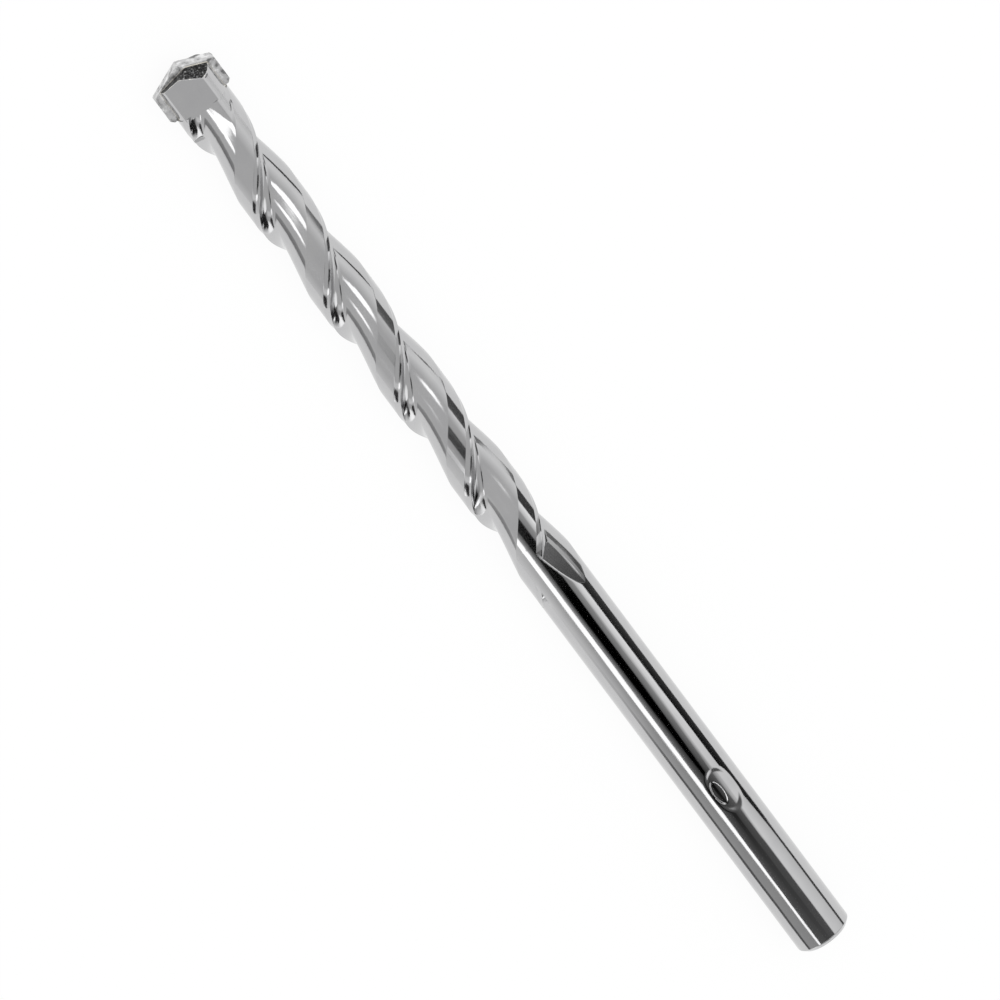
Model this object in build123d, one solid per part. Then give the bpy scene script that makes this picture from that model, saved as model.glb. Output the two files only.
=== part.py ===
"""Masonry drill bit: a steel twist body with a brazed tungsten-carbide tip.

The bit lies along +X with its point at the +X end. The origin is the centre of the
shank's flat end, on the drill axis. The tip plate's width runs along Y, and +Z is the
side of the plate's broad face and of the dimple in the shank. Lengths are millimetres.
Angles round the axis are degrees from +Y towards +Z, anticlockwise seen from the point.
"""
from build123d import *
from math import cos, radians, sin, tan
import os

# overall
LENGTH = 101.6                   # shank end to point
SHANK_D = 5.33
SHANK_LENGTH = 40.7              # plain shank, up to the last trace of a flute
SHANK_CHAMFER = 0.4

# flutes
LAND_D = 5.37                    # over the lands, a trace thicker than the shank
LEAD = 21.9                      # travel along the axis in one turn
CORE_D = 3.65                    # web left at the bottom of the flutes
GULLET_ARC = 38.0                # from the leading corner to the bottom of a flute
RELIEF_ARC = 80.0                # from the bottom of a flute up to the land
BEVEL_ARC = 17.0                 # narrow bevel along the leading corner
BEVEL_DROP = 0.1                 # how far the leading corner stands below the land

# neck and cheeks of the head
HEAD_D = 5.26
NECK_BACK = 7.0                  # point to where the leading corners meet the plate's plane
NECK_FLAT_ARC = 110.0            # how far round the axis each flat of the neck reaches
CHEEK_DEPTH = 1.98               # axis to the flat of a cheek
CHEEK_TURN = 12.0                # the flats are turned this far from the plate's faces
CHEEK_TOP_BACK = -0.3            # trailing slope's height on the axis, back from the point
CHEEK_SIDE_FALL = 24.0           # how it falls along the plate
CHEEK_OUT_FALL = 33.0            # and away from the plate
CHEEK_RAKE_BACK = 0.62           # the same for the slope before the other cutting edge
CHEEK_RAKE_FALL = 10.0

# carbide plate and its braze
TIP_WIDTH = 6.45
TIP_THICKNESS = 1.5
TIP_HEIGHT = 4.1                 # foot to point
POINT_ANGLE = 134.0
FLANK_RELIEF = 5.0
TIP_CORNER_BREAK = 0.12
TIP_FOOT_CHAMFER = 0.3
BRAZE_FILM = 0.08

# dimple in the shank: a shallow oval spot, flatter than the shank, with an oval pit in it
DIMPLE_FROM_END = 17.65
DIMPLE_LENGTH = 4.3
DIMPLE_WIDTH = 2.6
DIMPLE_DEPTH = 0.17
DIMPLE_TURN = 12.0               # the spot's middle stands this far from +Z towards -Y
PIT_LENGTH = 2.4                 # the pit is cut straight from +Z
PIT_WIDTH = 1.0
PIT_DEPTH = 0.25                 # below the shank's round surface

SHANK_R = SHANK_D / 2
LAND_R = LAND_D / 2
HEAD_R = HEAD_D / 2
CORE_R = CORE_D / 2
SLACK = 1.0                      # how far cutters reach past what they cut
SEAT_X = LENGTH - TIP_HEIGHT     # foot of the plate
SLOT_X = SEAT_X - BRAZE_FILM     # floor of the slot, where the cheeks start
SLOT_HALF = TIP_THICKNESS / 2 + BRAZE_FILM
NECK_X = LENGTH - NECK_BACK
LAND_START = GULLET_ARC + RELIEF_ARC
RUN_OUT_X = SHANK_LENGTH + RELIEF_ARC / 360 * LEAD + SLACK   # full flutes from here
OTHER_SIDE = Rot(180, 0, 0)      # everything on the bit comes twice round its axis


def polar(radius, angle):
    """Point of a cross-section, by its radius and its angle round the axis."""
    return (radius * cos(radians(angle)), radius * sin(radians(angle)))


def section_plane(x):
    """Cross-section plane at x: its own axes are the model's Y and Z."""
    return Plane(origin=(x, 0, 0), x_dir=(0, 1, 0), z_dir=(1, 0, 0))


def corner_angle(x):
    """Where a leading corner of the twisted flutes stands at x, 0 at the neck."""
    return (x - NECK_X) / LEAD * 360


def flute_outline():
    """Section of one flute, open to the outside, with its leading corner at angle 0.

    Round the axis come the bevel, the corner, the concave gullet and the relief,
    which rises evenly from the bottom of the flute and runs out at the land.
    """
    past = 4.0                                   # degrees drawn past the land's edge
    outside = LAND_R + SLACK
    rise = (LAND_R - CORE_R) / RELIEF_ARC
    bottom = polar(CORE_R, GULLET_ARC)
    halfway = polar((CORE_R + LAND_R) / 2, GULLET_ARC + RELIEF_ARC / 2)
    land = polar(LAND_R + rise * past, LAND_START + past)
    with BuildSketch() as outline:
        with BuildLine():
            relief = ThreePointArc(bottom, halfway, land)
            gullet = TangentArc(bottom, polar(LAND_R - BEVEL_DROP, 0), tangent=(relief % 0) * -1)
            Polyline(gullet @ 1, polar(LAND_R, -BEVEL_ARC), polar(outside, -BEVEL_ARC))
            ThreePointArc(polar(outside, -BEVEL_ARC), polar(outside, LAND_START / 2),
                          polar(outside, LAND_START + past))
            Line(polar(outside, LAND_START + past), land)
        make_face()
    return outline.sketch


def twisted(outline, start, end):
    """Section carried along the axis from start to end while it turns with the lead."""
    placed = section_plane(start) * Rot(0, 0, corner_angle(start)) * outline
    turn = abs(end - start) / LEAD * 360
    return Solid.extrude_linear_with_rotation(
        placed.face(), (start, 0, 0), (end - start, 0, 0), turn)


def fluted_rod(start, end):
    """Round stock with both twisted flutes from start to end."""
    flute = flute_outline()
    return twisted(Circle(LAND_R) - flute - Rot(0, 0, 180) * flute, start, end)


def run_out_stop():
    """Wedge of steel left standing where a flute runs out into the shank.

    Its flat carries on the line that the relief follows along one side of the bit,
    from the bottom of the flute out to the shank's surface. It reaches a little past
    that line, inside the relief, so that the two surfaces cross there.
    """
    azimuth = corner_angle(SHANK_LENGTH) + LAND_START
    fall = (LAND_R - CORE_R) / (RUN_OUT_X - SHANK_LENGTH - SLACK)
    start, end = SHANK_LENGTH - SLACK, RUN_OUT_X + SLACK
    side = 2 * LAND_R
    flat = [(end, CORE_R - 2 * fall * SLACK), (start, LAND_R + fall * SLACK)]
    past = LAND_R / 5
    across = Plane(origin=(0, *polar(past, azimuth + 90)), x_dir=(1, 0, 0),
                   z_dir=(0, *polar(1, azimuth + 90)))
    outline = make_face(Polyline((start, -side), (end, -side), *flat, close=True))
    return extrude(across * outline, amount=-side)


def shank():
    """Plain shank and the stretch over which the flutes run out into it."""
    blank = section_plane(0) * extrude(Circle(SHANK_R), amount=RUN_OUT_X)
    blank = chamfer(blank.edges().group_by(Axis.X)[0], SHANK_CHAMFER)
    run_out = twisted(flute_outline(), RUN_OUT_X, SHANK_LENGTH) - run_out_stop()
    return blank - run_out - OTHER_SIDE * run_out - spot_cutter() - pit_cutter()


def flatted_rod(start, end, depth, azimuth):
    """Head stock with two flats, one on each side, at a depth and an azimuth."""
    outline = Circle(HEAD_R) & Rot(0, 0, azimuth) * Rectangle(2 * depth, 4 * HEAD_R)
    return section_plane(start) * extrude(outline, amount=end - start)


def neck():
    """Full lands between the last turn and the head, where the helix stops."""
    depth = HEAD_R * cos(radians(NECK_FLAT_ARC / 2))
    return flatted_rod(NECK_X, SLOT_X, depth, LAND_START / 2)


def below(solid, back, normal):
    """Part of a solid below a slope that crosses the axis at back from the point."""
    slope = Plane(origin=(LENGTH - back, 0, 0), z_dir=normal)
    return split(solid, bisect_by=slope, keep=Keep.BOTTOM)


def cheek():
    """One half of the head, on the +Z side of the plate, with its ground top."""
    block = flatted_rod(SLOT_X, LENGTH + SLACK, CHEEK_DEPTH, 90 - CHEEK_TURN)
    block = split(block, bisect_by=Plane.XY, keep=Keep.TOP)
    trailing = (1, -tan(radians(CHEEK_SIDE_FALL)), tan(radians(CHEEK_OUT_FALL)))
    rake = (1, tan(radians(CHEEK_RAKE_FALL)), 0)
    return below(below(block, CHEEK_TOP_BACK, trailing), CHEEK_RAKE_BACK, rake)


def slot(half_thickness, foot):
    """Space across the head from foot up, as thick as the plate or wider."""
    reach = LENGTH + SLACK - foot
    return Pos(foot + reach / 2, 0, 0) * Box(reach, 2 * HEAD_D, 2 * half_thickness)


def arc_radius(chord, sagitta):
    """Radius of the arc that rises by the sagitta over the chord."""
    return (chord ** 2 / 4 + sagitta ** 2) / (2 * sagitta)


def pocket_cutter(length, width, floor_radius, floor_centre):
    """Oval space on the +Z side, down to a round floor whose axis is parallel to the bit's."""
    oval = extrude(Ellipse(length / 2, width / 2), amount=SHANK_D)
    floor = Pos(0, 0, floor_centre) * Rot(0, 90, 0) * Cylinder(floor_radius, 2 * length)
    return Pos(DIMPLE_FROM_END, 0, 0) * (oval - floor)


def spot_cutter():
    """Spot whose floor meets the shank's round surface at the two ends of its width."""
    rise = SHANK_R - (SHANK_R ** 2 - DIMPLE_WIDTH ** 2 / 4) ** 0.5
    floor_radius = arc_radius(DIMPLE_WIDTH, rise - DIMPLE_DEPTH)
    centre = SHANK_R - DIMPLE_DEPTH - floor_radius
    return Rot(DIMPLE_TURN, 0, 0) * pocket_cutter(DIMPLE_LENGTH, DIMPLE_WIDTH, floor_radius, centre)


def pit_cutter():
    """Pit in the spot, with a floor round the bit's own axis."""
    return pocket_cutter(PIT_LENGTH, PIT_WIDTH, SHANK_R - PIT_DEPTH, 0)


def cheeks():
    """Both halves of the head, still joined where the slot will be."""
    front = cheek()
    return front + OTHER_SIDE * front


def drill_body():
    """Shank, flutes, neck and slotted head, in one piece of steel."""
    return shank() + fluted_rod(RUN_OUT_X, SLOT_X) + neck() + (cheeks() - slot(SLOT_HALF, SLOT_X))


def braze_seam():
    """Film that fills the slot below the cheeks' tops, round the plate."""
    return (cheeks() & slot(SLOT_HALF, SLOT_X)) - slot(TIP_THICKNESS / 2, SEAT_X)


def carbide_tip():
    """Plate with a roof point: each wing's flank falls away behind its cutting edge."""
    half = TIP_WIDTH / 2
    fall = tan(radians(90 - POINT_ANGLE / 2))
    shoulder = LENGTH - half * fall
    corners = [(SEAT_X, half - TIP_FOOT_CHAMFER), (SEAT_X + TIP_FOOT_CHAMFER, half),
               (shoulder - TIP_CORNER_BREAK, half),
               (shoulder + TIP_CORNER_BREAK * fall, half - TIP_CORNER_BREAK)]
    mirrored = [(x, -y) for x, y in reversed(corners)]
    top = LENGTH + SLACK
    outline = make_face(Polyline(*corners, (top, corners[-1][1]), (top, mirrored[0][1]),
                                 *mirrored, close=True))
    plate = Pos(0, 0, -TIP_THICKNESS / 2) * extrude(outline, amount=TIP_THICKNESS)
    relief = tan(radians(FLANK_RELIEF))
    return below(below(plate, 0, (1, -fall, relief)), 0, (1, fall, -relief))


def main():
    os.makedirs("parts", exist_ok=True)
    pieces = {
        "drill_body": drill_body(),
        "braze_seam": braze_seam(),
        "carbide_tip": carbide_tip(),
    }
    for name, piece in pieces.items():
        export_step(piece, f"parts/{name}.step")


main()
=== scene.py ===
# %% [markdown]
# # A masonry drill bit
#
# The bit is one length of bright steel: a round shank, two flutes twisted round a core,
# and a slotted head that holds a carbide plate in a film of braze. The frame gives the
# outer sizes, and the sizes of the section are the part's own, written here again. This
# script makes the surfaces that the eye sees: the steel is nearly a mirror, so every
# surface is worked out as a smooth function, with small rounded edges that catch the
# light, and the studio round it is built as carefully as the bit.

import bpy
import numpy as np
from mathutils import Matrix, Vector


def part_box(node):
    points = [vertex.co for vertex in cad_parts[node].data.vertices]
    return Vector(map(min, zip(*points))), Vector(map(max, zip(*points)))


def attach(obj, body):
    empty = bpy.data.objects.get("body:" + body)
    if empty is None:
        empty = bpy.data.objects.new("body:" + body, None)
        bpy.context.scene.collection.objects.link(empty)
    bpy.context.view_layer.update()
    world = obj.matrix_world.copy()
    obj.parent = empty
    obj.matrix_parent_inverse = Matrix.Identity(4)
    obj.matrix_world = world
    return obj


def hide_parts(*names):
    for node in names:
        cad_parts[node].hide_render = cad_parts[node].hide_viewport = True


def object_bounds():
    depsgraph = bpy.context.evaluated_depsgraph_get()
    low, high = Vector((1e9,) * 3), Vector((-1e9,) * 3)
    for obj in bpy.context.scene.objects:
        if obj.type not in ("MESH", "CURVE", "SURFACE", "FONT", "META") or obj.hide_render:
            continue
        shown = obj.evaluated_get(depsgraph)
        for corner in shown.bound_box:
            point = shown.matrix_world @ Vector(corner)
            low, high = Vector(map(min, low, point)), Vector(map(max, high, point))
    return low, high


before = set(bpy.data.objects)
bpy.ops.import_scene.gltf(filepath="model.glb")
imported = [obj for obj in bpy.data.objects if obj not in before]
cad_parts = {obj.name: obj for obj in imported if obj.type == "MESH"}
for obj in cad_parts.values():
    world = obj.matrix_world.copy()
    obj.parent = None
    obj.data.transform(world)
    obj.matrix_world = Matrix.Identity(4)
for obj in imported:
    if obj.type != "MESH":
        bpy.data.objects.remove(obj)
cad_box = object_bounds()
MM = 0.001
tip_low, tip_high = (np.array(corner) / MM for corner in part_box("carbide_tip"))
LENGTH = tip_high[0]
LAND_R = 5.37 / 2
print("length", round(LENGTH, 2), "mm; over the lands", round(2 * LAND_R, 2), "mm")

# %% [markdown]
# ## Small helpers for grids
#
# A surface here is a grid of points: a function of two parameters, worked out for all
# rows and columns at once. One helper turns such a grid into faces, and closes it round
# the axis and at its ends, so that every piece is a watertight skin.


# %% Grids into meshes
def grid_faces(rows, columns, first=0, closed=True):
    """Quads between neighbours: (i, j), (i, j+1), (i+1, j+1) and (i+1, j) make one face."""
    i = np.arange(rows - 1)[:, None]
    j = np.arange(columns if closed else columns - 1)[None, :]
    after = (j + 1) % columns
    quads = np.stack([i * columns + j, i * columns + after,
                      (i + 1) * columns + after, (i + 1) * columns + j], axis=-1)
    return quads.reshape(-1, 4) + first


def cap_faces(ring, centre, forward):
    """Triangles from a closed ring of points to one centre point, facing forward or back."""
    after = np.roll(ring, -1)
    middle = np.full_like(ring, centre)
    order = [ring, after, middle] if forward else [after, ring, middle]
    return np.stack(order, axis=-1)


def capped_tube(points):
    """Skin over rows of rings, points[row, column], closed at each end by a middle point."""
    rows, columns, _ = points.shape
    ends = np.stack([points[0].mean(axis=0), points[-1].mean(axis=0)])
    vertices = np.concatenate([points.reshape(-1, 3), ends])
    first_ring = np.arange(columns)
    last_ring = first_ring + (rows - 1) * columns
    faces = [grid_faces(rows, columns),
             cap_faces(first_ring, rows * columns, False),
             cap_faces(last_ring, rows * columns + 1, True)]
    return vertices, [face for group in faces for face in group.tolist()]


def joined(*skins):
    """Several skins as one list of points and one list of faces, with the faces renumbered."""
    starts = np.cumsum([0] + [len(vertices) for vertices, _ in skins])
    vertices = np.concatenate([vertices for vertices, _ in skins])
    faces = [[int(corner + start) for corner in face]
             for start, (_, skin_faces) in zip(starts, skins) for face in skin_faces]
    return vertices, faces


# %% A piece with a name
def make_piece(name, skin, replaces, sharp_degrees=40):
    """Mesh object from points in millimetres, smooth except at edges sharper than the angle."""
    vertices, faces = skin
    mesh = bpy.data.meshes.new(name)
    mesh.from_pydata((np.asarray(vertices) * MM).tolist(), [], faces)
    mesh.validate()
    mesh.polygons.foreach_set("use_smooth", np.ones(len(mesh.polygons), bool))
    mesh.set_sharp_from_angle(angle=np.radians(sharp_degrees))
    mesh.update()
    piece = bpy.data.objects.new(name, mesh)
    bpy.context.scene.collection.objects.link(piece)
    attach(piece, "root")
    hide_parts(replaces)
    print(name, "has", len(mesh.vertices), "points and", len(mesh.polygons), "faces")
    return piece


# %% [markdown]
# ## The section of the flutes
#
# Cut across, the steel shows two equal halves. Going round from a leading corner come
# a steep hollow down to the core, a relief that climbs evenly back to full size, the
# land at full size, and a narrow bevel back down to the next corner. Two circles carry
# the hollow and the relief, so the radius at any angle is where a ray from the axis
# meets a circle. Points could be drawn by hand, but a formula keeps every turn alike.
# A mean over a degree or two rounds each edge as polishing does.

# %% Sizes of the flutes
SHANK_R = 5.33 / 2
CORE_R = 3.65 / 2
LEAD = 21.9                      # travel along the axis in one turn
GULLET_ARC = 38.0                # degrees from the leading corner to the bottom of a flute
RELIEF_ARC = 80.0                # from the bottom of a flute up to the land
BEVEL_ARC = 17.0                 # narrow bevel before the next corner
BEVEL_DROP = 0.1                 # how far a corner stands below the land
LAND_START = GULLET_ARC + RELIEF_ARC
SHANK_LENGTH = 40.7
SLACK = 1.0                      # the part's run-out cutter reaches this far on
RUN_OUT_X = SHANK_LENGTH + RELIEF_ARC / 360 * LEAD + SLACK   # full flutes from here
NECK_BACK = 7.0
NECK_X = LENGTH - NECK_BACK
PAST_LAND = 4                    # the relief's circle is aimed this many degrees past the land
EDGE_ROUNDING = 0.6              # spread, in degrees, of the weights in the mean below
MEAN_PLACES = np.linspace(-1.5, 1.5, 9)   # where that mean looks, counted in spreads


# %% Circles and rays
def on_circle(radius, degrees):
    """Point of the section at a radius and an angle."""
    return radius * np.array([np.cos(np.radians(degrees)), np.sin(np.radians(degrees))])


def circle_through(a, b, c):
    """Centre and radius of the circle through three points, from the two chords' midlines."""
    rows = 2 * np.array([b - a, c - a])
    centre = np.linalg.solve(rows, [b @ b - a @ a, c @ c - a @ a])
    return centre, np.linalg.norm(a - centre)


def ray_to_circle(degrees, centre, radius, far):
    """Distance from the axis to a circle along each ray: c.u plus or minus the half chord."""
    u = np.stack([np.cos(np.radians(degrees)), np.sin(np.radians(degrees))], axis=-1)
    along = u @ centre
    half_chord = np.sqrt(np.maximum(radius ** 2 - centre @ centre + along ** 2, 0))
    return along + half_chord if far else along - half_chord


# %% The section
RISE = (LAND_R - CORE_R) / RELIEF_ARC
GULLET_END = on_circle(CORE_R, GULLET_ARC)
relief_centre, relief_radius = circle_through(
    GULLET_END, on_circle((CORE_R + LAND_R) / 2, GULLET_ARC + RELIEF_ARC / 2),
    on_circle(LAND_R + PAST_LAND * RISE, LAND_START + PAST_LAND))
CORNER = on_circle(LAND_R - BEVEL_DROP, 0)
towards = (GULLET_END - relief_centre) / relief_radius
to_corner = CORNER - GULLET_END
gullet_radius = to_corner @ to_corner / (2 * to_corner @ towards)
gullet_centre = GULLET_END + gullet_radius * towards
print("relief radius", round(relief_radius, 2), "mm, gullet radius", round(gullet_radius, 2), "mm")


def sharp_section(degrees):
    """Radius of the section at an angle past the leading corner, the same every half turn."""
    p = degrees % 180
    gullet = ray_to_circle(p, gullet_centre, abs(gullet_radius), False)
    relief = ray_to_circle(p, relief_centre, relief_radius, True)
    start, end = on_circle(LAND_R, 180 - BEVEL_ARC), -CORNER
    across = np.array([end[1] - start[1], start[0] - end[0]])
    u = np.stack([np.cos(np.radians(p)), np.sin(np.radians(p))], axis=-1)
    bevel = (start @ across) / (u @ across + 1e-9)
    radius = np.where(p < GULLET_ARC, gullet, np.minimum(relief, LAND_R))
    radius = np.where(p > LAND_START, LAND_R, radius)
    return np.where(p > 180 - BEVEL_ARC, bevel, radius)


def section(degrees):
    """The same radius with its edges rounded: a weighted mean over nearby angles."""
    steps = MEAN_PLACES * EDGE_ROUNDING
    weights = np.exp(-(steps / EDGE_ROUNDING) ** 2)
    total = sum(w * sharp_section(degrees + s) for w, s in zip(weights, steps))
    return total / weights.sum()


def corner_angle(x):
    """Where a leading corner stands at x: it turns once in every lead."""
    return (x - NECK_X) / LEAD * 360


# %% [markdown]
# ## From shank to head
#
# The flutes do not stop dead. Each runs out into the round shank: its relief side is
# left as a long flat that climbs out of the groove. At the other end, the last part
# keeps its full thickness under the head, as a round bar with two flats. Both are one
# more radius, and the larger or smaller of two radii is the surface. Cutting meshes from
# each other could also do it, but can leave uneven edges, and a mirror shows those. The
# columns of the grid turn with the helix, so the flutes' long edges lie along grid lines.

# %% The flat that stops a flute
RUN_OUT_FALL = (LAND_R - CORE_R) / (RUN_OUT_X - SHANK_LENGTH - SLACK)
STOP_PAST = LAND_R / 3           # how far the flat reaches past the start of the land
LEAST_COSINE = 1e-3              # keeps a divisor off zero
print("a run-out flat falls", round(RUN_OUT_FALL, 3), "mm a millimetre")


def run_out_radius(x, phi):
    """Radius of the flat that stops a flute, where it applies, and 0 elsewhere.

    The flat stands LAND_R - fall * (x - start) from the axis, square to the azimuth
    where the land begins, and reaches a little past that azimuth.
    """
    azimuth = corner_angle(SHANK_LENGTH) + LAND_START
    away = np.radians((phi - azimuth + 90) % 180 - 90)
    height = LAND_R - RUN_OUT_FALL * (x - SHANK_LENGTH)
    radius = height / np.maximum(np.cos(away), LEAST_COSINE)
    return np.where(radius * np.sin(away) < STOP_PAST, radius, 0)


# %% The radius everywhere on the twisted part
HEAD_R = 5.26 / 2
BRAZE_FILM = 0.08
SLOT_X = tip_low[0] - BRAZE_FILM
NECK_FLAT_ARC = 110.0
NECK_FLAT = HEAD_R * np.cos(np.radians(NECK_FLAT_ARC / 2))
START_LENGTH = 2.0               # a flute's hollow side deepens over this length
HOLLOW_FADE = 16                 # degrees over which that side passes into the relief
LAND_BLEND = 10                  # length over which the shank grows to the size of the lands


def smooth_step(t):
    """0 before t = 0, 1 after t = 1, and 3 t^2 - 2 t^3 between."""
    t = np.clip(t, 0, 1)
    return t * t * (3 - 2 * t)


def higher_of(a, b, soft=0.015):
    """The higher of two, blended: max(a, b) + soft * log(1 + exp(-|a - b| / soft))."""
    return np.maximum(a, b) + soft * np.log1p(np.exp(-abs(a - b) / soft))


def neck_radius(phi):
    """Round bar with two flats: the smaller of its radius and flat / cos(angle off the flat)."""
    away = np.radians(phi - LAND_START / 2)
    return np.minimum(HEAD_R, NECK_FLAT / np.maximum(abs(np.cos(away)), LEAST_COSINE))


def steel_radius(x, phi):
    """Radius of the steel at x and phi degrees round the axis, from +Y towards +Z."""
    past = (phi - corner_angle(x)) % 180
    fluted = section(past)
    begun = smooth_step((x - SHANK_LENGTH) / START_LENGTH)
    hollow = 1 - smooth_step((past - GULLET_ARC + HOLLOW_FADE / 2) / HOLLOW_FADE)
    fluted = fluted + np.maximum(SHANK_R - fluted, 0) * (1 - begun) * hollow
    stop = np.where(x < RUN_OUT_X, run_out_radius(x, phi), 0)
    groove = np.maximum(fluted, stop)
    largest = SHANK_R + (LAND_R - SHANK_R) * smooth_step((x - SHANK_LENGTH) / LAND_BLEND)
    shank = np.where(x < SHANK_LENGTH, SHANK_R, np.minimum(groove, largest))
    fluted = np.minimum(fluted, largest)
    necked = np.minimum(higher_of(fluted, neck_radius(phi)), LAND_R)
    full = np.where(x > NECK_X, necked, fluted)
    return np.where(x < RUN_OUT_X, shank, full)


# %% Columns of the twisted grid
COLUMN_STEP = 1.8
CLOSEST_COLUMNS = 0.12
NEAR_EDGE = np.array([-2.2, -1.6, -1.1, -0.7, -0.35, 0, 0.35, 0.7, 1.1, 1.6, 2.2])


def edge_columns():
    """Angles of the grid's columns over half a turn, close together at the section's edges."""
    near_edge = NEAR_EDGE * EDGE_ROUNDING
    edges = [edge + near_edge for edge in (0, GULLET_ARC, LAND_START, 180 - BEVEL_ARC)]
    angles = np.concatenate([np.arange(0, 180, COLUMN_STEP), *edges]) % 180
    angles = np.unique(np.round(angles, 3))
    return angles[np.append(np.diff(angles) > CLOSEST_COLUMNS, True)]


half_turn = edge_columns()
columns = np.concatenate([half_turn, half_turn + 180])
print("the twisted grid has", len(columns), "columns")

# %% [markdown]
# ## The shank and its dimple
#
# The shank's end is flat with a turned chamfer. The dimple is a shallow oval spot with an
# oval pit in it. Neither needs new points: both only lower the shank's radius inside an
# oval. Their floors are straight along the bit, so the long stripes that the steel mirrors
# run on through them. Cutting the oval out would need a new mesh round its rim. Here the
# grid only gets more rows and columns, and each rim is a narrow smooth step that shines.

# %% Rows along the axis
CHAMFER = 0.4
DIMPLE_X = 17.65
SPOT_LENGTH = 4.3
SPOT_WIDTH = 2.6
SPOT_DEPTH = 0.17
SPOT_TURN = 12.0                 # the spot's middle stands this far from +Z towards -Y
SPOT_RIM = 0.4
PIT_LENGTH = 2.4
PIT_WIDTH = 1.0
PIT_DEPTH = 0.25
PIT_RIM = 0.12
DIMPLE_REACH = 2.4               # the rows stand close together this far each way
DIMPLE_SPREAD = 60               # degrees from +Z within which the dimple can lie

SEAM_X = SHANK_LENGTH - 1.5      # the plain shank ends here and the twisted grid begins
TWIST_START = SHANK_LENGTH - 0.3
run_out_rows = np.arange(TWIST_START, RUN_OUT_X + 0.05, 0.07)
flute_rows = np.linspace(RUN_OUT_X + 0.1, NECK_X - 0.1, 160)
neck_rows = np.arange(NECK_X, SLOT_X, 0.06)
seam_rows = np.linspace(SEAM_X, SHANK_LENGTH - 0.4, 4)
x_rows = np.concatenate([seam_rows, run_out_rows, flute_rows, neck_rows])
near_dimple = np.arange(60, 150, 0.75)
shank_columns = np.unique(np.round(np.concatenate([np.arange(0, 360, 1.5), near_dimple]), 3))
shank_rows = np.concatenate([
    np.linspace(CHAMFER + 0.08, DIMPLE_X - DIMPLE_REACH, 12),
    np.linspace(DIMPLE_X - DIMPLE_REACH, DIMPLE_X + DIMPLE_REACH, 121)[1:],
    np.linspace(DIMPLE_X + DIMPLE_REACH, SEAM_X, 16)[1:]])
print(len(shank_rows), "rows on the shank and", len(x_rows), "on the twisted part")


# %% The dimple
def arc_radius(chord, sagitta):
    """Radius of an arc: (chord squared / 4 + sagitta squared) over twice the sagitta."""
    return (chord ** 2 / 4 + sagitta ** 2) / (2 * sagitta)


def inside_oval(x, sideways, length, width, rim):
    """1 inside an oval at the dimple and 0 outside, with a smooth step as wide as the rim."""
    reach = np.sqrt((2 * (x - DIMPLE_X) / length) ** 2 + (2 * sideways / width) ** 2)
    return smooth_step((1 - reach) * width / 2 / rim + 0.5)


def dimpled_radius(x, phi):
    """The shank's radius, less the spot's and the pit's depth inside their ovals.

    The spot's floor is flatter than the shank: an arc about a centre below the axis,
    met by rays at r = c cos(a) + sqrt(f^2 - (c sin(a))^2). The pit's floor is round.
    """
    away = np.radians(phi - 90 - SPOT_TURN)
    rise = SHANK_R - np.sqrt(SHANK_R ** 2 - SPOT_WIDTH ** 2 / 4)
    floor = arc_radius(SPOT_WIDTH, rise - SPOT_DEPTH)
    centre = SHANK_R - SPOT_DEPTH - floor
    half_chord = np.sqrt(np.maximum(floor ** 2 - (centre * np.sin(away)) ** 2, 0))
    spot_floor = centre * np.cos(away) + half_chord
    near = abs(phi - 90) < DIMPLE_SPREAD
    from_spot, from_pit = SHANK_R * np.sin(away), SHANK_R * np.cos(np.radians(phi))
    spot_oval = inside_oval(x, from_spot, SPOT_LENGTH, SPOT_WIDTH, SPOT_RIM)
    pit_oval = inside_oval(x, from_pit, PIT_LENGTH, PIT_WIDTH, PIT_RIM)
    in_spot, in_pit = np.where(near, spot_oval, 0), np.where(near, pit_oval, 0)
    with_spot = SHANK_R + in_spot * (np.minimum(spot_floor, SHANK_R) - SHANK_R)
    return with_spot + in_pit * (SHANK_R - PIT_DEPTH - with_spot)


# %% [markdown]
# ## Two skins of one steel bar
#
# Shank and flutes are one piece of steel. One skin could carry both, but the shank wants
# columns that run straight and the flutes want columns that turn. So there are two skins
# that meet at a plain round ring, where the change of grid shows least.

# %% Skins of the shank and of the twisted part
def ring_points(x, radius, phi):
    """Points (x, r cos phi, r sin phi) for rows of x and columns of phi."""
    x = np.broadcast_to(x, radius.shape)
    around = np.radians(phi)
    return np.stack([x, radius * np.cos(around), radius * np.sin(around)], axis=-1)


def shank_end_rows():
    """Rings of the flat end and its chamfer: (x, radius) pairs with both edges rounded."""
    inner, outer = SHANK_R - CHAMFER, SHANK_R
    profile = np.array([
        [0, inner * 0.5], [0, inner - 0.06], [0.006, inner - 0.02], [0.02, inner + 0.015],
        [0.05, inner + 0.05], [CHAMFER - 0.06, outer - 0.06],
        [CHAMFER - 0.01, outer - 0.018], [CHAMFER + 0.03, outer - 0.004]])
    radius = np.repeat(profile[:, 1:], len(shank_columns), axis=1)
    return ring_points(profile[:, :1], radius, shank_columns)


def shank_skin():
    """The plain shank from its flat end to the seam, with the dimple in it."""
    x = shank_rows[:, None]
    body = ring_points(x, dimpled_radius(x, shank_columns[None, :]), shank_columns)
    return capped_tube(np.concatenate([shank_end_rows(), body]))


def flutes_skin():
    """Run-outs, flutes and neck, on columns that turn: phi = column + corner angle at x."""
    x = x_rows[:, None]
    phi = columns[None, :] + corner_angle(np.maximum(x, TWIST_START))
    return capped_tube(ring_points(x, steel_radius(np.broadcast_to(x, phi.shape), phi), phi))


shank = make_piece("steel_shank", shank_skin(), "drill_body")
flutes = make_piece("steel_flutes", flutes_skin(), "drill_body")

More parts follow.
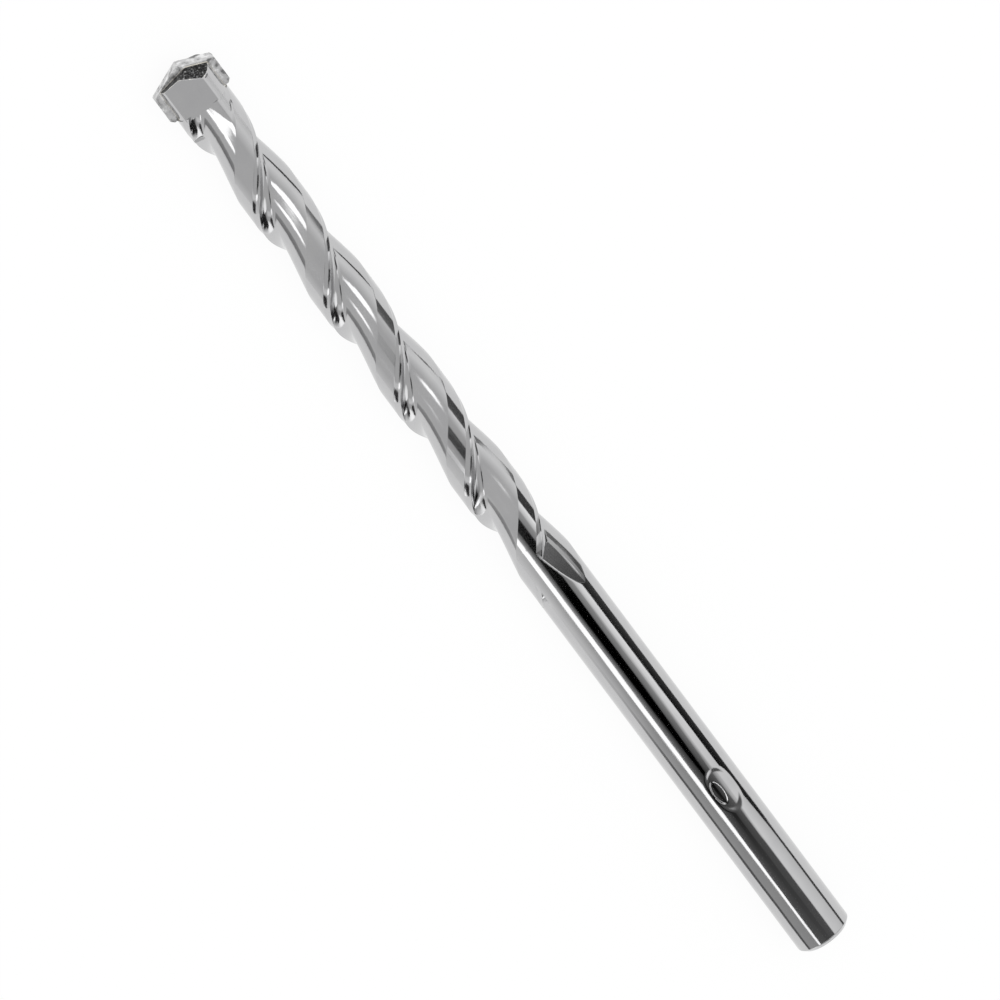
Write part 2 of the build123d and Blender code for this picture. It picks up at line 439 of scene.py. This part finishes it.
# %% [markdown]
# ## The head
#
# Two cheeks of steel hold the plate between them. Each is a short bar with a flat
# ground on its outside and a sloping top. Its outline is drawn once with straight lines
# and arcs, divided evenly, and smoothed by averaging neighbours, which rounds every
# corner by about the same small radius. Rings of that outline climb the bar, turn over
# the top edge, and close in on the sloping top.

# %% Cheeks
PLATE_THICKNESS = 1.5
SLOT_HALF = PLATE_THICKNESS / 2 + BRAZE_FILM
CHEEK_DEPTH = 1.98               # axis to the flat of a cheek
CHEEK_TURN = 12.0                # the flats are turned this far from the plate's faces
CHEEK_SPACING = 0.045            # between the points of the outline
CHEEK_EDGE = 0.07                # radius of the top edge
CHEEK_FOOT = SLOT_X - 0.3        # a little way down inside the neck
CHEEK_MIDDLE = np.array([0.0, 1.35])   # the top's rings close in on this point
TRAILING_RISE = 0.3              # the trailing slope passes this far above the point
TRAILING_SIDE_FALL = 24          # degrees along the plate
TRAILING_OUT_FALL = 33           # degrees away from the plate
RAKE_BACK = 0.62
RAKE_FALL = 10
TOP_BLEND = 0.06


def cheek_outline():
    """Outline (y, z) of the front cheek: slot face, two arcs and the flat between them."""
    half = np.degrees(np.arccos(CHEEK_DEPTH / HEAD_R))
    middle = 90 - CHEEK_TURN
    start = np.degrees(np.arcsin(SLOT_HALF / HEAD_R))
    right = [on_circle(HEAD_R, a) for a in np.linspace(start, middle - half, 12)]
    left = [on_circle(HEAD_R, a) for a in np.linspace(middle + half, 180 - start, 24)]
    corners = np.array(right + left + right[:1])
    lengths = np.linalg.norm(np.diff(corners, axis=0), axis=1)
    travelled = np.append(0, np.cumsum(lengths))
    count = int(travelled[-1] / CHEEK_SPACING)
    at = np.arange(count) / count * travelled[-1]
    even = np.stack([np.interp(at, travelled, axis) for axis in corners.T], axis=-1)
    for _ in range(3):
        even = (np.roll(even, 1, axis=0) + 2 * even + np.roll(even, -1, axis=0)) / 4
    return even


# %% The ground top
def cheek_top(y, z):
    """Height of the ground top: the lower of trailing slope and rake, blended where they meet."""
    trailing = (LENGTH + TRAILING_RISE + np.tan(np.radians(TRAILING_SIDE_FALL)) * y
                - np.tan(np.radians(TRAILING_OUT_FALL)) * z)
    rake = LENGTH - RAKE_BACK - np.tan(np.radians(RAKE_FALL)) * y
    apart = abs(trailing - rake)
    return np.minimum(trailing, rake) - TOP_BLEND * np.log1p(np.exp(-apart / TOP_BLEND))


# %% One cheek
def cheek(turned):
    """Skin of one cheek; the second is the first turned half way round the axis."""
    outline = cheek_outline()
    y, z = outline.T
    rings = []
    edge = cheek_top(y, z) - CHEEK_EDGE
    for share in np.linspace(0, 1, 14):
        rings.append(np.stack([CHEEK_FOOT + share * (edge - CHEEK_FOOT), y, z], axis=-1))
    inward = CHEEK_MIDDLE - outline
    inward /= np.linalg.norm(inward, axis=1)[:, None]
    for turn in np.radians([22, 45, 68, 90]):
        place = outline + inward * CHEEK_EDGE * (1 - np.cos(turn))
        height = cheek_top(*place.T) - CHEEK_EDGE * (1 - np.sin(turn))
        rings.append(np.stack([height, *place.T], axis=-1))
    for share in np.linspace(0, 0.94, 22)[1:]:
        inner = place + share * (CHEEK_MIDDLE - place)
        rings.append(np.stack([cheek_top(*inner.T), *inner.T], axis=-1))
    points = np.array(rings)
    if turned:
        points = points * np.array([1, -1, -1])
    return capped_tube(points)


head = make_piece("steel_head", joined(cheek(False), cheek(True)), "drill_body")


# %% [markdown]
# The burnt finish further down belongs on the ground tops alone. A second material would
# end in a hard line, so each point keeps how far it looks up along the bit, and the
# finish fades by that number.

# %% Where the head looks up
def mark_top(piece):
    """Attribute "top": the x part of each point's normal, 1 on the top and 0 on the sides."""
    mesh = piece.data
    normals = np.empty(3 * len(mesh.vertices))
    mesh.vertex_normals.foreach_get("vector", normals)
    mesh.attributes.new("top", "FLOAT", "POINT").data.foreach_set("value", normals[::3].copy())


mark_top(head)

# %% [markdown]
# ## The carbide plate
#
# The plate is ground from a block: a flat slab with a roof point, whose two flanks fall
# away behind their cutting edges so that only the edge touches the stone. It has flat
# faces and nothing else, so its corners are written down and its edges get a narrow
# bevel, as a light honing leaves them.

# %% Plate
TIP_HALF = (tip_high[1] - tip_low[1]) / 2
POINT_ANGLE = 134
FLANK_RELIEF = 5
ROOF_FALL = np.tan(np.radians(90 - POINT_ANGLE / 2))
FLANK_FALL = np.tan(np.radians(FLANK_RELIEF))
CORNER_BREAK = 0.12
FOOT_CHAMFER = 0.3
HONED_WIDTH = 0.045
HONED_ABOVE = 4                  # degrees: only edges sharper than this are honed


def roof(y, ridge):
    """Height of the roof at y: it falls evenly both ways from its ridge."""
    return LENGTH - abs(y - ridge) * ROOF_FALL


def broad_face(z):
    """Outline of the plate at z, where the flanks' relief has moved the ridge by its share."""
    ridge = FLANK_FALL * z / ROOF_FALL
    foot, shoulder = tip_low[0], LENGTH - TIP_HALF * ROOF_FALL - CORNER_BREAK
    left, right = -TIP_HALF + CORNER_BREAK, TIP_HALF - CORNER_BREAK
    return np.array([
        [foot, TIP_HALF - FOOT_CHAMFER, z], [foot + FOOT_CHAMFER, TIP_HALF, z],
        [min(shoulder, roof(TIP_HALF, ridge)), TIP_HALF, z], [roof(right, ridge), right, z],
        [roof(ridge, ridge), ridge, z], [roof(left, ridge), left, z],
        [min(shoulder, roof(-TIP_HALF, ridge)), -TIP_HALF, z],
        [foot + FOOT_CHAMFER, -TIP_HALF, z], [foot, -TIP_HALF + FOOT_CHAMFER, z]])


def plate():
    """Skin of the plate: its two broad faces, and a quad between them along each edge."""
    front, back = broad_face(PLATE_THICKNESS / 2), broad_face(-PLATE_THICKNESS / 2)
    count = len(front)
    vertices = np.concatenate([front, back])
    around = np.arange(count)
    after = np.roll(around, -1)
    sides = np.stack([around, after, after + count, around + count], axis=-1).tolist()
    return vertices, [around[::-1].tolist(), (around + count).tolist()] + sides


carbide = make_piece("carbide_plate", plate(), "carbide_tip", sharp_degrees=30)
honed = carbide.modifiers.new("honed edges", "BEVEL")
honed.width = HONED_WIDTH * MM
honed.segments = 3
honed.limit_method = "ANGLE"
honed.angle_limit = np.radians(HONED_ABOVE)

# %% [markdown]
# ## Materials
#
# A material is a small sum: noise makes streaks, streaks change roughness. To write such
# sums as Python, one class wraps a node's output and gives it the usual operators; each
# operation adds a Math node. Numbers that do not vary are set on the shader itself.


# %% Node arithmetic
class Signal:
    """A node's output that can be added, subtracted and multiplied."""

    def __init__(self, finish, socket):
        self.finish = finish
        self.socket = socket

    def maths(self, operation, first, second):
        """One Math node on two values."""
        return self.finish.node("Math", {"operation": operation}, {0: first, 1: second})

    def __add__(self, other):
        return self.maths("ADD", self, other)

    __radd__ = __add__

    def __sub__(self, other):
        return self.maths("SUBTRACT", self, other)

    def __rsub__(self, other):
        return self.maths("SUBTRACT", other, self)

    def __mul__(self, other):
        return self.maths("MULTIPLY", self, other)

    __rmul__ = __mul__


# %% A finish and its nodes
class Finish:
    """A material being built: its nodes and the shader at their end."""

    def __init__(self, name, **constants):
        self.material = bpy.data.materials.new(name)
        self.material.use_nodes = True
        self.tree = self.material.node_tree
        self.shader = self.tree.nodes["Principled BSDF"]
        for socket, value in constants.items():
            self.shader.inputs[socket.replace("_", " ")].default_value = value

    def feed(self, socket, value):
        """Link a signal to a socket, or write a plain value on it."""
        if isinstance(value, Signal):
            self.tree.links.new(value.socket, socket)
        else:
            socket.default_value = value

    def node(self, kind, settings=None, inputs=None, output=0):
        """A node of one kind, its settings made first, then its inputs, as one signal."""
        node = self.tree.nodes.new("ShaderNode" + kind)
        for key, value in (settings or {}).items():
            if key == "stops":
                self.set_stops(node.color_ramp, value)
            else:
                setattr(node, key, value)
        for key, value in (inputs or {}).items():
            self.feed(node.inputs[key], value)
        return Signal(self, node.outputs[output])

    def set_stops(self, ramp, stops):
        """Give a ramp its stops: pairs of a place and a grey or a colour."""
        while len(ramp.elements) < len(stops):
            ramp.elements.new(0.5)
        for element, (place, grey) in zip(ramp.elements, stops):
            element.position = place
            element.color = (*grey, 1) if isinstance(grey, tuple) else (grey, grey, grey, 1)

    def noise(self, scale, stretch=(1, 1, 1), detail=3.0, turn=(0, 0, 0)):
        """Noise from 0 to 1 on the object's own coordinates, stretched by dividing each axis."""
        place = self.node("TexCoord", output="Object")
        per_axis = tuple(scale / s for s in stretch)
        mapped = self.node("Mapping", {}, {"Vector": place, "Rotation": turn, "Scale": per_axis})
        return self.node("TexNoise", {}, {"Vector": mapped, "Scale": 1.0, "Detail": detail})

    def ramp(self, value, *stops):
        """Value read off between stops."""
        return self.node("ValToRGB", {"stops": stops}, {"Fac": value})

    def blend(self, share, low, high):
        """Colour between two, by a share from 0 to 1."""
        return self.node("Mix", {"data_type": "RGBA"}, {0: share, 6: low, 7: high}, output=2)

    def set(self, name, value):
        """Feed one of the shader's own sockets."""
        self.feed(self.shader.inputs[name], value)

    def bump(self, height, strength, distance):
        """Tilt the shading as if the surface stood up by height times distance."""
        inputs = {"Height": height, "Strength": strength, "Distance": distance}
        self.set("Normal", self.node("Bump", {}, inputs))


def dress(piece, finish):
    """Give a piece one finish and no other."""
    piece.data.materials.clear()
    piece.data.materials.append(finish.material)


# %% [markdown]
# ## Bright steel
#
# The bar is polished along its length. A perfect mirror would be too clean for it, and
# real scratches would need a great many faces. Long thin noise gives the faint lines,
# and a slow cloud keeps the grey from being quite even.

# %% Bright steel
def bright_steel(name="bright_steel"):
    """Polished steel: nearly a mirror, with faint lines along the bar."""
    steel = Finish(name, Metallic=1.0)
    lines = steel.noise(9000, stretch=(40, 1, 1), detail=2)
    cloud = steel.noise(500, detail=2)
    steel.colour = steel.blend(cloud, (0.5, 0.5, 0.51, 1), (0.57, 0.57, 0.57, 1))
    steel.gloss = 0.05 + lines * 0.07 + cloud * 0.03
    steel.set("Base Color", steel.colour)
    steel.set("Roughness", steel.gloss)
    steel.bump(lines, 0.2, 0.00001)
    return steel


# %% [markdown]
# ## The burnt head, with painted glints on its edge
#
# In the photograph the ground tops of the cheeks are dark and rough, and their edges
# carry small bright glints. The dark top was read as steel burnt in brazing; the glints
# are painted highlights, bright specks in the edge's colour. Both are too fine for faces,
# so the "top" attribute says where they go and noise says how they look.

# %% Burnt steel with painted glints
def burnt_steel_painted_glints():
    """Bright steel whose top is burnt dark, with painted highlights: bright specks where the top
    begins.
    """
    steel = bright_steel("burnt_steel_painted_glints")
    top = steel.node("Attribute", {"attribute_name": "top"}, output="Fac")
    speckle = steel.noise(5200, detail=4)
    # painted highlight: specks of noise that stand in for glints on the top edge
    glint_specks = steel.ramp(steel.noise(4300, detail=1), (0.5, 0), (0.6, 1))
    burnt = steel.ramp(top, (0.5, 0), (0.66, 1))
    edge = steel.ramp(top, (0.1, 0), (0.3, 1), (0.6, 1), (0.75, 0)) * glint_specks
    scale_colour = steel.ramp(speckle, (0.42, 0.02), (0.6, 0.09), (0.74, 0.5))
    dark = steel.blend(burnt, steel.colour, scale_colour)
    # the near-white colour is painted glint on the edge, laid over the burnt dark
    steel.set("Base Color", steel.blend(edge, dark, (0.95, 0.93, 0.88, 1)))
    steel.set("Roughness", steel.gloss + burnt * 0.3 + edge * 0.25)
    steel.bump(speckle * burnt + edge, 0.5, 0.00003)
    return steel


# %% [markdown]
# ## Carbide and braze
#
# The plate is greyer than the steel, and mottled in the photograph. Braze is a little
# yellow and lumpy. Neither has a pattern that follows an edge, so noise on the object's
# own coordinates is enough for both.

# %% Ground carbide and braze
def ground_carbide():
    """Ground carbide: a greyer metal with a fine grain, mottled in patches."""
    carbide = Finish("ground_carbide", Metallic=0.9)
    grain = carbide.noise(9000, detail=4)
    patch = carbide.noise(1400, detail=3)
    mottle = carbide.ramp(patch, (0.36, 0.2), (0.46, 0.6), (0.58, 0.72), (0.66, 1.0))
    carbide.set("Base Color", carbide.blend(grain * 0.35, mottle, (0.3, 0.3, 0.31, 1)))
    carbide.set("Roughness", 0.24 + grain * 0.2)
    carbide.bump(grain, 0.3, 0.00002)
    return carbide


def braze_metal():
    """Braze: bright and a little yellow, with a lumpy skin."""
    braze = Finish("braze_metal", Metallic=1.0)
    lumps = braze.noise(3500, detail=3)
    braze.set("Base Color", braze.blend(lumps, (0.66, 0.62, 0.54, 1), (0.8, 0.77, 0.7, 1)))
    braze.set("Roughness", 0.2 + lumps * 0.2)
    braze.bump(lumps, 0.6, 0.00005)
    return braze


polished = bright_steel()
for piece in (shank, flutes):
    dress(piece, polished)
dress(head, burnt_steel_painted_glints())
dress(carbide, ground_carbide())
dress(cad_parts["braze_seam"], braze_metal())
print("finishes:", ", ".join(material.name for material in bpy.data.materials))

# %% [markdown]
# ## The studio
#
# A mirror shows what stands round it. The floor and the walls of the tent are white, and
# grey, black and white cards hang round the bit. They are seen only in reflections. Each
# is a strip of a cylinder round the axis, and it is placed the way a photographer places
# it: by where it should show in round steel, and from there along the mirrored ray out to
# the card. The shank's cards hang close to it, so that the flutes do not see them. The
# flutes lean towards and away from the camera, and mirror the far cards: one soft grey
# with a few dark and white shapes.

# %% Cards
VIEW_TILT = np.radians(20)       # the camera leans this far from straight up, to the point
FAR = 300.0
LANDS = FAR - 4                  # the cards of the lands hang before the other far cards
WALLS = FAR + 5                  # and the walls behind them
CLOSE = 10.0
GAUZE = 9.0                      # a close card thins out to nothing over this length
ACROSS = 9                       # points across a card


def card_glow():
    """Each card sends back the light level painted on it."""
    paint = Finish("card_paint", Base_Color=(0, 0, 0, 1), Roughness=1.0,
                   Specular_IOR_Level=0.0, Emission_Strength=1.0)
    level = paint.node("Attribute", {"attribute_name": "level"}, output="Color")
    solid = paint.node("Attribute", {"attribute_name": "level"}, output="Alpha")
    paint.set("Emission Color", level)
    clear = paint.node("BsdfTransparent")
    painted = Signal(paint, paint.shader.outputs[0])
    mixed = paint.node("MixShader", {}, {0: solid, 1: clear, 2: painted})
    paint.tree.links.new(mixed.socket, paint.tree.nodes["Material Output"].inputs["Surface"])
    paint.material.cycles.emission_sampling = "NONE"
    return paint.material


glow = card_glow()


# %% Where a card hangs
def mirrored_place(x, direction, radius):
    """Where the ray that round steel at x mirrors to the camera meets a cylinder round the axis.

    The ray leaves the steel halfway round to its own direction, and goes back by the
    tangent of the view's tilt for each millimetre that it travels outwards.
    """
    turn = np.radians(direction)
    side, height = LAND_R * np.sin(turn / 2), LAND_R * np.cos(turn / 2)
    travel = np.sqrt(radius ** 2 - side ** 2) - height
    return np.stack([x - travel * np.tan(VIEW_TILT), -side - travel * np.sin(turn),
                     height + travel * np.cos(turn)], axis=-1)


def card(name, radius, *rows):
    """Strip whose rows are (x, start, level, end, level), seen at x and from start to end.

    Directions are in degrees from straight up towards -Y. Between the rows and between
    the two edges, the edges and the light levels change evenly. A close card goes on
    past its last row as gauze that thins out to nothing.
    """
    rows = np.array(rows, float)
    solid = np.ones(len(rows))
    if radius == CLOSE:
        rows = np.concatenate([rows, rows[-1:] + [GAUZE, 0, 0, 0, 0]])
        solid = np.append(solid, 0)
    share = np.linspace(0, 1, ACROSS)
    direction = rows[:, 1:2] + (rows[:, 3:4] - rows[:, 1:2]) * share
    level = rows[:, 2:3] + (rows[:, 4:5] - rows[:, 2:3]) * share
    x = np.broadcast_to(rows[:, :1], direction.shape)
    points = mirrored_place(x, direction, radius) * MM
    faces = grid_faces(len(rows), ACROSS, closed=False)
    mesh = bpy.data.meshes.new(name)
    mesh.from_pydata(points.reshape(-1, 3).tolist(), [], faces.tolist())
    shade = mesh.attributes.new("level", "FLOAT_COLOR", "POINT")
    opaque = np.broadcast_to(solid[:, None], level.shape)
    shade.data.foreach_set("color", np.stack([level, level, level, opaque], axis=-1).ravel())
    strip = bpy.data.objects.new(name, mesh)
    bpy.context.scene.collection.objects.link(strip)
    strip.visible_camera = False
    strip.visible_diffuse = False
    strip.visible_shadow = False
    strip.visible_transmission = False
    strip.data.materials.append(glow)
    return strip


# %% [markdown]
# ## Cards for the shank
#
# In the photograph the shank shows long stripes, from left to right dark, grey, white,
# a black slit between two dark greys, light, and a black edge. Each stripe is a card or
# two. They could be painted on the steel, but then they would turn with the bit.

# %% Close cards: the stripes along the shank
card("shank_line", CLOSE,
     (-2, -96, 0.12, -85, 0.12), (22, -96, 0.15, -85, 0.15), (30, -96, 0.7, -85, 0.6),
     (41, -96, 0.95, -85, 0.95))
card("shank_grey", CLOSE,
     (-2, -85, 0.45, -43, 0.4), (8, -85, 0.45, -45, 0.4), (16, -85, 0.5, -49, 0.4),
     (24, -85, 0.55, -52, 0.42), (33, -85, 0.8, -52, 0.5), (41, -85, 0.9, -52, 0.55))
card("shank_white", CLOSE,
     (-2, -43, 1.8, -36, 1.8), (8, -45, 1.9, -35, 1.9), (16, -49, 1.9, -33, 1.9),
     (41, -52, 1.9, -33, 1.9))
card("shank_dark_left", CLOSE,
     (-2, -36, 0.12, -10, 0.12), (11, -35, 0.14, -8, 0.06), (19, -33, 0.16, -7, 0.05),
     (29, -33, 0.4, -14, 0.04), (41, -33, 0.5, -17, 0.04))
card("black_slit", CLOSE,
     (-2, -10, 0.1, 8, 0.1), (11, -8, 0.06, 6, 0.06), (19, -7, 0, 5, 0), (29, -14, 0, 14, 0),
     (41, -17, 0, 17, 0))
card("shank_dark_right", CLOSE,
     (-2, 8, 0.11, 31, 0.12), (11, 6, 0.1, 31, 0.12), (19, 5, 0.05, 26, 0.16),
     (29, 14, 0.2, 33, 0.4), (41, 17, 0.28, 34, 0.42))
card("shank_fade", CLOSE,
     (-2, 31, 0.8, 36, 1.0), (11, 31, 0.8, 36, 1.0), (19, 26, 0.3, 38, 0.95),
     (29, 33, 0.5, 42, 1.0), (41, 34, 0.5, 42, 1.0))
card("shank_light", CLOSE,
     (-2, 36, 1.0, 85, 0.85), (11, 36, 1.05, 84, 0.8), (14, 36, 1.05, 79, 0.8),
     (19, 38, 1.0, 66, 0.9), (29, 42, 1.05, 62, 1.3), (41, 42, 1.0, 61, 1.3))
card("shank_black", CLOSE,
     (-2, 85, 0.08, 95, 0.08), (11, 84, 0.06, 95, 0.06), (14, 79, 0.02, 96, 0.03),
     (19, 66, 0, 96, 0.04), (41, 61, 0.02, 97, 0.08))

# %% [markdown]
# ## Cards for the lands and flutes
#
# The lands are as round as the shank and carry its stripes on for a while, then lose
# them. The flutes show other shapes: dark leaves, light streaks and white patches. All
# hang far off, because a far card looks alike from every flute.

# %% Far cards: the stripes of the shank fade out over the first lands
card("land_light_left", LANDS,
     (28, -90, 0.95, -52, 0.9), (58, -90, 0.9, -52, 0.8), (62, -90, 0.87, -56, 0.7))
card("land_white_left", LANDS,
     (28, -52, 2.2, -33, 2.2), (51, -50, 2.2, -35, 2.2), (56, -48, 0.65, -37, 0.65))
card("land_dark_left", LANDS,
     (28, -33, 0.5, -17, 0.04), (52, -34, 0.5, -15, 0.1), (60, -34, 0.6, -13, 0.55))
card("land_slit", LANDS,
     (28, -17, 0, 17, 0), (64, -15, 0, 14, 0), (67, -12, 0.5, 11, 0.5))
card("land_dark_right", LANDS,
     (28, 17, 0.28, 34, 0.42), (52, 15, 0.35, 36, 0.5), (60, 13, 0.55, 38, 0.6))
card("land_white_right", LANDS,
     (28, 34, 0.8, 61, 1.5), (54, 37, 0.8, 58, 1.5), (62, 38, 0.62, 56, 0.9),
     (72, 42, 0.6, 56, 0.9))
card("land_wedge", LANDS,
     (28, 61, 0.02, 90.4, 0.08), (50, 58, 0.06, 90.4, 0.06), (66, 56, 0.12, 90.4, 0.1),
     (80, 60, 0.15, 90.4, 0.12), (90, 76, 0.3, 90.4, 0.25), (96, 84, 0.8, 90.4, 0.8))

# %% Far cards: dark and white shapes beside the flutes
card("left_leaf", FAR,
     (43, -92, 0.03, -66, 0.03), (9, -92, 0.03, -57, 0.03), (-20, -84, 0.03, -53, 0.03),
     (-45, -70, 0.03, -49, 0.03), (-78, -62, 0.05, -51, 0.05))
card("white_under_leaf", FAR,
     (-20, -92, 1.6, -88, 1.6), (-90, -92, 1.6, -66, 1.6), (-160, -92, 1.7, -52, 1.5),
     (-200, -92, 1.6, -46, 1.5), (-260, -92, 1.4, -64, 1.4), (-340, -92, 1.2, -78, 1.2))
card("light_streak", FAR,
     (43, -50, 0.95, -36, 0.8), (-40, -46, 0.95, -30, 0.8), (-140, -34, 0.95, -14, 0.8),
     (-220, -24, 0.8, -4, 0.7))
card("white_cloud", FAR,
     (-180, 15, 1.0, 35, 1.0), (-240, 0, 1.4, 60, 1.3), (-340, 2, 1.6, 62, 1.3),
     (-480, 10, 1.5, 55, 1.1), (-560, 22, 0.8, 42, 0.8))
card("black_hill", FAR,
     (-210, -72, 0.05, -60, 0.05), (-300, -72, 0.02, -35, 0.02), (-420, -70, 0.02, 4, 0.02))
card("dark_patch", FAR,
     (110, -88, 0.4, -78, 0.5), (150, -86, 0.28, -68, 0.4), (215, -84, 0.2, -64, 0.35))
card("small_white_left", FAR,
     (178, -37, 2.1, -32, 2.1), (192, -39, 2.1, -29, 2.1), (235, -46, 2.1, -24, 2.1))
card("small_white_right", FAR,
     (171, 7, 2.1, 12, 2.1), (186, 2, 2.1, 18, 2.1), (235, -2, 2.1, 26, 2.1))
card("joined_white", FAR - 1,
     (204, -40, 2.1, 20, 2.1), (235, -42, 2.1, 28, 2.1))
card("thin_dark_line", FAR,
     (150, 82, 0.04, 86, 0.04), (170, 79, 0.04, 87, 0.04), (198, 74, 0.06, 83, 0.06))
card("run_out_grey", LANDS,
     (110, 70, 0.2, 90.4, 0.2), (136, 70, 0.2, 90.4, 0.2))

# %% [markdown]
# ## Walls
#
# Behind all the cards stand four walls of soft grey. They turn black far back along the
# bit, which is where the deep hollow of a flute looks.

# %% Far walls
card("wall_left", WALLS,
     (-20000, -92, 1.2, -60, 0.3), (-420, -92, 1.2, -60, 0.3), (-300, -92, 1.3, -60, 0.8),
     (-30, -92, 1.1, -60, 0.9), (43, -92, 0.88, -60, 0.65), (500, -92, 0.9, -60, 0.66))
card("wall_middle", WALLS,
     (-20000, -60, 0.02, 25, 0.02), (-450, -60, 0.02, 25, 0.02), (-400, -60, 0.05, 25, 0.3),
     (-260, -60, 0.5, 25, 0.6), (43, -60, 0.65, 25, 0.64), (500, -60, 0.7, 25, 0.7))
card("wall_right", WALLS,
     (-20000, 25, 0.02, 60, 0.02), (-620, 25, 0.02, 60, 0.02), (-540, 25, 0.1, 60, 0.1),
     (-400, 25, 0.8, 60, 0.7), (-260, 25, 0.6, 60, 0.6), (43, 25, 0.6, 60, 0.66),
     (100, 25, 0.65, 60, 1.0), (500, 25, 0.68, 60, 1.0))
card("wall_edge", WALLS,
     (-20000, 60, 0.02, 90.4, 0.02), (-620, 60, 0.02, 90.4, 0.02), (-480, 60, 0.5, 90.4, 0.6),
     (43, 60, 0.66, 90.4, 0.7), (100, 60, 1.0, 90.4, 1.0), (500, 60, 1.0, 90.4, 1.0))

hung = [thing for thing in bpy.data.objects
        if thing.type == "MESH" and glow.name in thing.data.materials]
print(len(hung), "cards and walls hang round the bit")

# %% [markdown]
# ## The floor and the light
#
# The floor is a pale sheet just under the bit. What the camera and the mirror see of it is
# mostly its own white, so that the picture's ground is white and a soft shadow stays.

# %% Floor and light
FLOOR_SIZE = 6.0
OWN_WHITE = 0.93                 # how much of what is seen of the floor is its own white
floor_mesh = bpy.data.meshes.new("floor")
floor_height = cad_box[0][2]
edge = FLOOR_SIZE / 2
floor_corners = [(-edge, -edge, floor_height), (edge, -edge, floor_height),
                 (edge, edge, floor_height), (-edge, edge, floor_height)]
floor_mesh.from_pydata(floor_corners, [], [(0, 1, 2, 3)])
floor = bpy.data.objects.new("floor", floor_mesh)
bpy.context.scene.collection.objects.link(floor)
paper = Finish("white_paper", Base_Color=(0.9, 0.9, 0.9, 1), Roughness=0.9)
path = paper.tree.nodes.new("ShaderNodeLightPath")
seen = (Signal(paper, path.outputs["Is Camera Ray"]) + Signal(paper, path.outputs["Is Glossy Ray"])
        + Signal(paper, path.outputs["Is Transmission Ray"]))
own_white = paper.node("Emission", {}, {"Color": (1, 1, 1, 1), "Strength": 1.0})
lit_paper = Signal(paper, paper.shader.outputs[0])
mixed = paper.node("MixShader", {}, {0: seen * OWN_WHITE, 1: lit_paper, 2: own_white})
paper.tree.links.new(mixed.socket, paper.tree.nodes["Material Output"].inputs["Surface"])
floor_mesh.materials.append(paper.material)

world = bpy.data.worlds.new("tent")
bpy.context.scene.world = world
world.use_nodes = True
world.node_tree.nodes["Background"].inputs["Color"].default_value = (1, 1, 1, 1)
world.node_tree.nodes["Background"].inputs["Strength"].default_value = 1.0


def soft_light(name, place, size, power):
    """Square area light that faces the bit, unseen in its mirror."""
    light = bpy.data.lights.new(name, "AREA")
    light.size = size
    light.energy = power
    lamp = bpy.data.objects.new(name, light)
    bpy.context.scene.collection.objects.link(lamp)
    lamp.location = place
    lamp.rotation_euler = (-Vector(place)).to_track_quat("-Z", "Y").to_euler()
    lamp.visible_glossy = False
    return lamp


soft_light("overhead_light", place=(0.1, -0.2, 0.8), size=0.6, power=1.2)
print("floor at", round(floor_height / MM, 2), "mm, one soft light overhead")

# %% [markdown]
# ## The camera
#
# A long lens far away looks down on the bit, from its tip side. The photograph shows the
# point at the top left and the shank's end at the bottom right: those two places, in
# pixels, give the camera's roll, its scale and its aim.

# %% Camera
TIP_PIXEL = np.array([173.9, 64.8])
END_PIXEL = np.array([825.0, 934.5])
FRAME_PIXELS = 1000
DISTANCE = 3.0


def photo_camera():
    """Camera whose image puts the shank's end and the point where the photograph has them."""
    towards_camera = np.array([np.sin(VIEW_TILT), 0, np.cos(VIEW_TILT)])
    along = np.array([np.cos(VIEW_TILT), 0, -np.sin(VIEW_TILT)])
    sideways = np.array([0, -1.0, 0])
    step = TIP_PIXEL - END_PIXEL
    turn = np.arctan2(-step[0], -step[1])
    right = -np.sin(turn) * along + np.cos(turn) * sideways
    up = np.cos(turn) * along + np.sin(turn) * sideways
    metres_per_pixel = LENGTH * MM * np.cos(VIEW_TILT) / np.linalg.norm(step)
    nearer_tip = (LENGTH / 2 * MM) ** 2 * np.cos(VIEW_TILT) * np.sin(VIEW_TILT) / DISTANCE
    middle = np.array([LENGTH / 2 * MM, 0, 0]) + nearer_tip * along
    off = FRAME_PIXELS / 2 - (TIP_PIXEL + END_PIXEL) / 2
    aim = middle + metres_per_pixel * (off[0] * right - off[1] * up)
    camera = bpy.data.cameras.new("photo_camera")
    camera.lens = camera.sensor_width * DISTANCE / (FRAME_PIXELS * metres_per_pixel)
    camera.dof.use_dof = False
    holder = bpy.data.objects.new("photo_camera", camera)
    bpy.context.scene.collection.objects.link(holder)
    turned = Matrix(np.stack([right, up, towards_camera], axis=-1).tolist()).to_4x4()
    holder.matrix_world = Matrix.Translation(aim + DISTANCE * towards_camera) @ turned
    print("lens", round(camera.lens), "mm, roll", round(float(np.degrees(turn)), 2), "degrees")
    return holder


bpy.context.scene.camera = photo_camera()
bpy.context.scene.view_settings.view_transform = "Standard"
